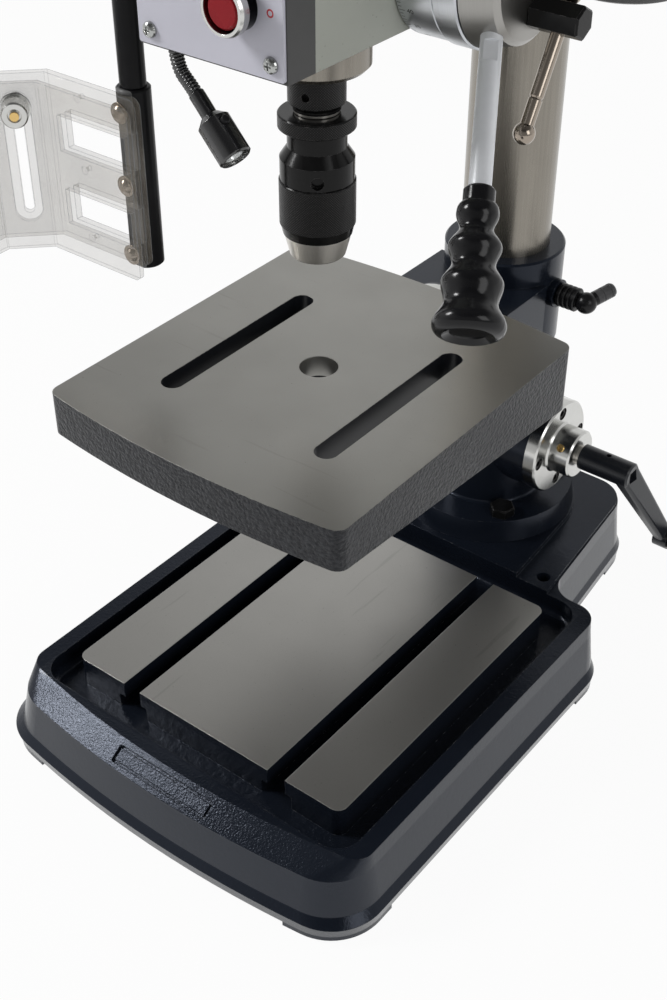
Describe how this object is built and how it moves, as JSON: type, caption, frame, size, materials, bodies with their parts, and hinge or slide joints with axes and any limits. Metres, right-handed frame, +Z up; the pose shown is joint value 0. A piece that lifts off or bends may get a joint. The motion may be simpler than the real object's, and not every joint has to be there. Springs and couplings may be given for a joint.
{
  "type": "bench drill",
  "caption": "Bench pillar drill with slotted base, tilting lift table, keyless chuck, geared feed levers, clear chip guard, work lamp and belt drive under a hinged cover.",
  "frame": {"origin": "on the bench plane, midway between the two hold-down holes of the base", "axes": "+Z up along the column, +X to the operator's right, -Y to the front where the operator stands"},
  "size_m": [0.4429, 0.6909, 0.822],
  "materials": {
    "dark_enamel": "gloss enamel over cast iron, ground pads left bare",
    "table_iron": "ground top, dark textured paint on the sides",
    "ground_steel": "ground and lightly oiled",
    "black_oxide": "blackened and oiled",
    "tool_steel": "hardened and ground",
    "plated_steel": "bright plated",
    "satin_chrome": "satin chrome, engraved",
    "brass": "turned",
    "black_paint": "gloss black",
    "grip_plastic": "moulded gloss black",
    "scale_white": "white with printed divisions",
    "head_paint": "light grey structured enamel",
    "box_paint": "mid grey powder coat",
    "panel_paint": "pale grey printed sheet",
    "stop_red": "moulded",
    "start_green": "moulded",
    "clear_plastic": "clear polycarbonate",
    "satin_black": "satin black",
    "lamp_metal": "black anodised",
    "lamp_glass": "clear lens",
    "rubber": "matt",
    "cast_aluminium": "turned"
  },
  "bodies": {
    "frame": {"base_casting": "dark_enamel", "column_foot": "dark_enamel", "foot_bolts": "black_oxide", "column_tube": "ground_steel", "crank_flange": "plated_steel", "flange_screws": "black_oxide", "grease_nipple": "brass", "head_casting": "head_paint", "spring_cap": "head_paint", "control_box": "box_paint", "panel_plate": "panel_paint", "panel_screws": "plated_steel", "button_bezels": "plated_steel", "guard_rod": "satin_black", "lamp_hose": "lamp_metal", "lamp_body": "lamp_metal", "lamp_lens": "lamp_glass", "belt_tray": "head_paint", "drive_belt": "rubber", "motor_body": "box_paint", "cable_gland": "rubber"},
    "quill": {"quill_sleeve": "ground_steel"},
    "spindle": {"spindle_shaft": "ground_steel", "spindle_nut": "black_oxide", "chuck_body": "black_oxide", "chuck_nose": "tool_steel"},
    "draw_ring": {"draw_ring": "black_oxide"},
    "chuck_sleeve": {"chuck_sleeve": "black_oxide"},
    "jaw_one": {"jaw_one": "tool_steel"},
    "jaw_two": {"jaw_two": "tool_steel"},
    "jaw_three": {"jaw_three": "tool_steel"},
    "spindle_pulley": {"spindle_pulley": "cast_aluminium"},
    "motor_rotor": {"motor_pulley": "cast_aluminium"},
    "feed": {"feed_shaft": "ground_steel", "feed_hub": "satin_chrome", "plain_ring": "satin_chrome", "lever_rods": "satin_chrome", "lever_grips": "grip_plastic"},
    "depth_ring": {"depth_ring": "satin_chrome"},
    "clamp_screw": {"clamp_screw": "black_oxide"},
    "tommy_bar": {"tommy_bar": "plated_steel"},
    "crank": {"crank_shaft": "ground_steel", "crank_arm": "black_paint"},
    "crank_grip": {"crank_grip": "grip_plastic"},
    "lift_screw": {"lift_screw": "ground_steel"},
    "bracket": {"table_bracket": "dark_enamel", "lift_nut": "brass", "tilt_scale": "scale_white", "tilt_bolt": "ground_steel"},
    "table": {"table_plate": "table_iron"},
    "lock_lever": {"lock_lever": "black_paint"},
    "guard": {"guard_sleeve": "satin_black", "guard_plate": "clear_plastic", "guard_screws": "plated_steel"},
    "guard_slider": {"guard_slider": "clear_plastic"},
    "guard_nut": {"guard_nut": "grip_plastic"},
    "stop_button": {"stop_button": "stop_red"},
    "start_button": {"start_button": "start_green"},
    "lamp_switch": {"lamp_switch": "rubber"},
    "belt_cover": {"belt_cover": "head_paint"}
  },
  "joints": [
    {"name": "quill_feed", "type": "slide", "parent": "frame", "child": "quill", "axis": [0, 0, -1], "range_m": [0, 0.08], "stiffness_N_per_m": 400, "springref_m": -0.3},
    {"name": "feed_turn", "type": "hinge", "parent": "frame", "child": "feed", "pos_m": [0.0954, -0.124, 0.599], "axis": [1, 0, 0], "range_deg": [0, 270]},
    {"name": "ring_turn", "type": "hinge", "parent": "feed", "child": "depth_ring", "pos_m": [0.068, -0.124, 0.599], "axis": [1, 0, 0], "continuous": true},
    {"name": "clamp_turn", "type": "hinge", "parent": "feed", "child": "clamp_screw", "pos_m": [0.139, -0.121, 0.578], "axis": [1, 0, 0], "range_deg": [0, 40]},
    {"name": "tommy_slide", "type": "slide", "parent": "clamp_screw", "child": "tommy_bar", "axis": [0, 0.4909, 0.8712], "range_m": [0, 0.051]},
    {"name": "pulley_spin", "type": "hinge", "parent": "frame", "child": "spindle_pulley", "pos_m": [0, -0.17, 0.766], "axis": [0, 0, 1], "continuous": true},
    {"name": "motor_spin", "type": "hinge", "parent": "frame", "child": "motor_rotor", "pos_m": [0, 0.225, 0.766], "axis": [0, 0, 1], "continuous": true},
    {"name": "spindle_spin", "type": "hinge", "parent": "quill", "child": "spindle", "pos_m": [0, -0.17, 0.62], "axis": [0, 0, 1], "continuous": true},
    {"name": "draw_turn", "type": "hinge", "parent": "spindle", "child": "draw_ring", "pos_m": [0, -0.17, 0.499], "axis": [0, 0, 1], "continuous": true},
    {"name": "chuck_turn", "type": "hinge", "parent": "spindle", "child": "chuck_sleeve", "pos_m": [0, -0.17, 0.44], "axis": [0, 0, 1], "range_deg": [-540, 1440]},
    {"name": "jaw_one", "type": "slide", "parent": "spindle", "child": "jaw_one", "axis": [0, 0.2079, 0.9781], "range_m": [-0.006, 0.016]},
    {"name": "jaw_two", "type": "slide", "parent": "spindle", "child": "jaw_two", "axis": [-0.1801, -0.104, 0.9781], "range_m": [-0.006, 0.016]},
    {"name": "jaw_three", "type": "slide", "parent": "spindle", "child": "jaw_three", "axis": [0.1801, -0.104, 0.9781], "range_m": [-0.006, 0.016]},
    {"name": "crank_turn", "type": "hinge", "parent": "frame", "child": "crank", "pos_m": [0.1325, 0.07, 0.145], "axis": [1, 0, 0], "range_deg": [-3960, 5280]},
    {"name": "crank_grip_spin", "type": "hinge", "parent": "crank", "child": "crank_grip", "pos_m": [0.197, 0.12, 0.0584], "axis": [1, 0, 0], "continuous": true},
    {"name": "screw_turn", "type": "hinge", "parent": "frame", "child": "lift_screw", "pos_m": [0, 0.07, 0.24], "axis": [0, 0, 1], "range_deg": [-2160, 2880]},
    {"name": "table_lift", "type": "slide", "parent": "frame", "child": "bracket", "axis": [0, 0, -1], "range_m": [-0.03, 0.04]},
    {"name": "table_tilt", "type": "hinge", "parent": "bracket", "child": "table", "pos_m": [0, -0.024, 0.249], "axis": [0, 1, 0], "range_deg": [-45, 45]},
    {"name": "lock_turn", "type": "hinge", "parent": "bracket", "child": "lock_lever", "pos_m": [0.057, 0.07, 0.287], "axis": [1, 0, 0], "range_deg": [0, 90]},
    {"name": "guard_swing", "type": "hinge", "parent": "frame", "child": "guard", "pos_m": [-0.109, -0.22, 0.447], "axis": [0, 0, 1], "range_deg": [0, 90]},
    {"name": "guard_slide", "type": "slide", "parent": "guard", "child": "guard_slider", "axis": [0, 0, 1], "range_m": [0, 0.065]},
    {"name": "guard_nut_turn", "type": "hinge", "parent": "guard", "child": "guard_nut", "pos_m": [-0.19111, -0.24871, 0.485], "axis": [0.7071, -0.7071, 0], "continuous": true},
    {"name": "stop_press", "type": "slide", "parent": "frame", "child": "stop_button", "axis": [0, 1, 0], "range_m": [0, 0.0025], "stiffness_N_per_m": 400, "springref_m": -0.0025},
    {"name": "start_press", "type": "slide", "parent": "frame", "child": "start_button", "axis": [0, 1, 0], "range_m": [0, 0.0025], "stiffness_N_per_m": 400, "springref_m": -0.0025},
    {"name": "lamp_press", "type": "slide", "parent": "frame", "child": "lamp_switch", "axis": [-0.6283, 0.1074, -0.7705], "range_m": [0, 0.0012], "stiffness_N_per_m": 300, "springref_m": -0.0015},
    {"name": "cover_swing", "type": "hinge", "parent": "frame", "child": "belt_cover", "pos_m": [-0.081, 0.025, 0.729], "axis": [0, -1, 0], "range_deg": [0, 100]}
  ],
  "couplings": [
    {"joint": "feed_turn", "follows": "quill_feed", "rad_per_m": 58.824},
    {"joint": "motor_spin", "follows": "pulley_spin", "ratio": 1.438},
    {"joint": "spindle_spin", "follows": "pulley_spin", "ratio": 1},
    {"joint": "jaw_one", "follows": "chuck_turn", "m_per_rad": 0.00063662},
    {"joint": "jaw_two", "follows": "chuck_turn", "m_per_rad": 0.00063662},
    {"joint": "jaw_three", "follows": "chuck_turn", "m_per_rad": 0.00063662},
    {"joint": "table_lift", "follows": "crank_turn", "m_per_rad": 0.00043406},
    {"joint": "screw_turn", "follows": "crank_turn", "ratio": 0.54545}
  ]
}
